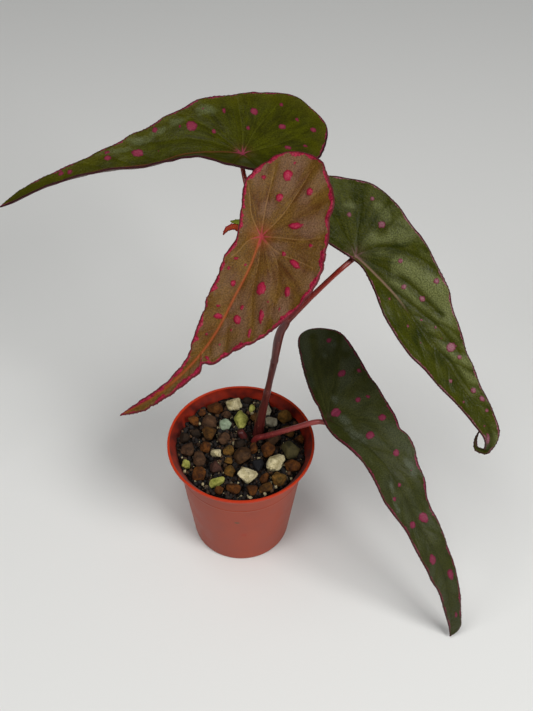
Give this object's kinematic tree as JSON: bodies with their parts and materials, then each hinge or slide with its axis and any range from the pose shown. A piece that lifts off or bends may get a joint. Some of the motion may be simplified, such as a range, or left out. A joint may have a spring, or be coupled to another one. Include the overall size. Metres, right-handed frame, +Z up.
{
  "type": "potted begonia",
  "caption": "Small begonia cane with long pointed, lopsided, crimson-spotted leaves, growing in gravelly soil in a round tapered plastic nursery pot.",
  "frame": {"origin": "middle of the flat underside of the pot, on the surface it stands on", "axes": "+Z up along the pot's axis; +X towards the side the low leaf hangs on, right in the reference view; -Y towards the viewer, the side the front leaf points to"},
  "size_m": [0.1675, 0.1127, 0.1734],
  "materials": {
    "base_bud": "scaly bud, matt",
    "cane": "smooth living stem, satin",
    "leaf_back": "living leaf, satin, green with raised crimson spots",
    "leaf_front": "living leaf, satin, bronze with raised crimson spots and margin",
    "leaf_low": "living leaf, satin, dark green with crimson spots",
    "leaf_right": "living leaf, glossy, green with silver sheen and crimson spots",
    "low_stalk": "smooth living stem, satin",
    "pot": "moulded, satin",
    "soil": "damp gritty peat, matt",
    "stipule": "thin papery scale, matt",
    "stones_brown": "baked clay gravel, matt",
    "stones_dark": "weathered gravel, matt",
    "stones_green": "weathered grit, matt",
    "stones_pale": "weathered grit, matt",
    "young_leaf": "young leaf, satin"
  },
  "bodies": {
    "root": {"base_bud": "base_bud", "cane": "cane", "leaf_back": "leaf_back", "leaf_front": "leaf_front", "leaf_low": "leaf_low", "leaf_right": "leaf_right", "low_stalk": "low_stalk", "pot": "pot", "soil": "soil", "stipule": "stipule", "stone_01": "stones_pale", "stone_02": "stones_green", "stone_03": "stones_green", "stone_04": "stones_green", "stone_05": "stones_brown", "stone_06": "stones_dark", "stone_07": "stones_brown", "stone_08": "stones_brown", "stone_09": "stones_pale", "stone_10": "stones_dark", "stone_11": "stones_dark", "stone_12": "stones_brown", "stone_13": "stones_pale", "stone_14": "stones_pale", "stone_15": "stones_dark", "stone_16": "stones_pale", "stone_17": "stones_brown", "stone_18": "stones_green", "stone_19": "stones_brown", "stone_20": "stones_green", "stone_21": "stones_brown", "stone_22": "stones_brown", "stone_23": "stones_brown", "stone_24": "stones_pale", "stone_25": "stones_brown", "stone_26": "stones_brown", "stone_27": "stones_brown", "stone_28": "stones_brown", "stone_29": "stones_brown", "stone_30": "stones_brown", "stone_31": "stones_brown", "stone_32": "stones_brown", "stone_33": "stones_brown", "stone_34": "stones_brown", "stone_35": "stones_brown", "stone_36": "stones_dark", "stone_37": "stones_brown", "stone_38": "stones_dark", "stone_39": "stones_brown", "stone_40": "stones_brown", "stone_41": "stones_brown", "stone_42": "stones_brown", "stone_43": "stones_brown", "stone_44": "stones_brown", "stone_45": "stones_brown", "stone_46": "stones_dark", "stone_47": "stones_brown", "young_leaf": "young_leaf"}
  },
  "joints": []
}
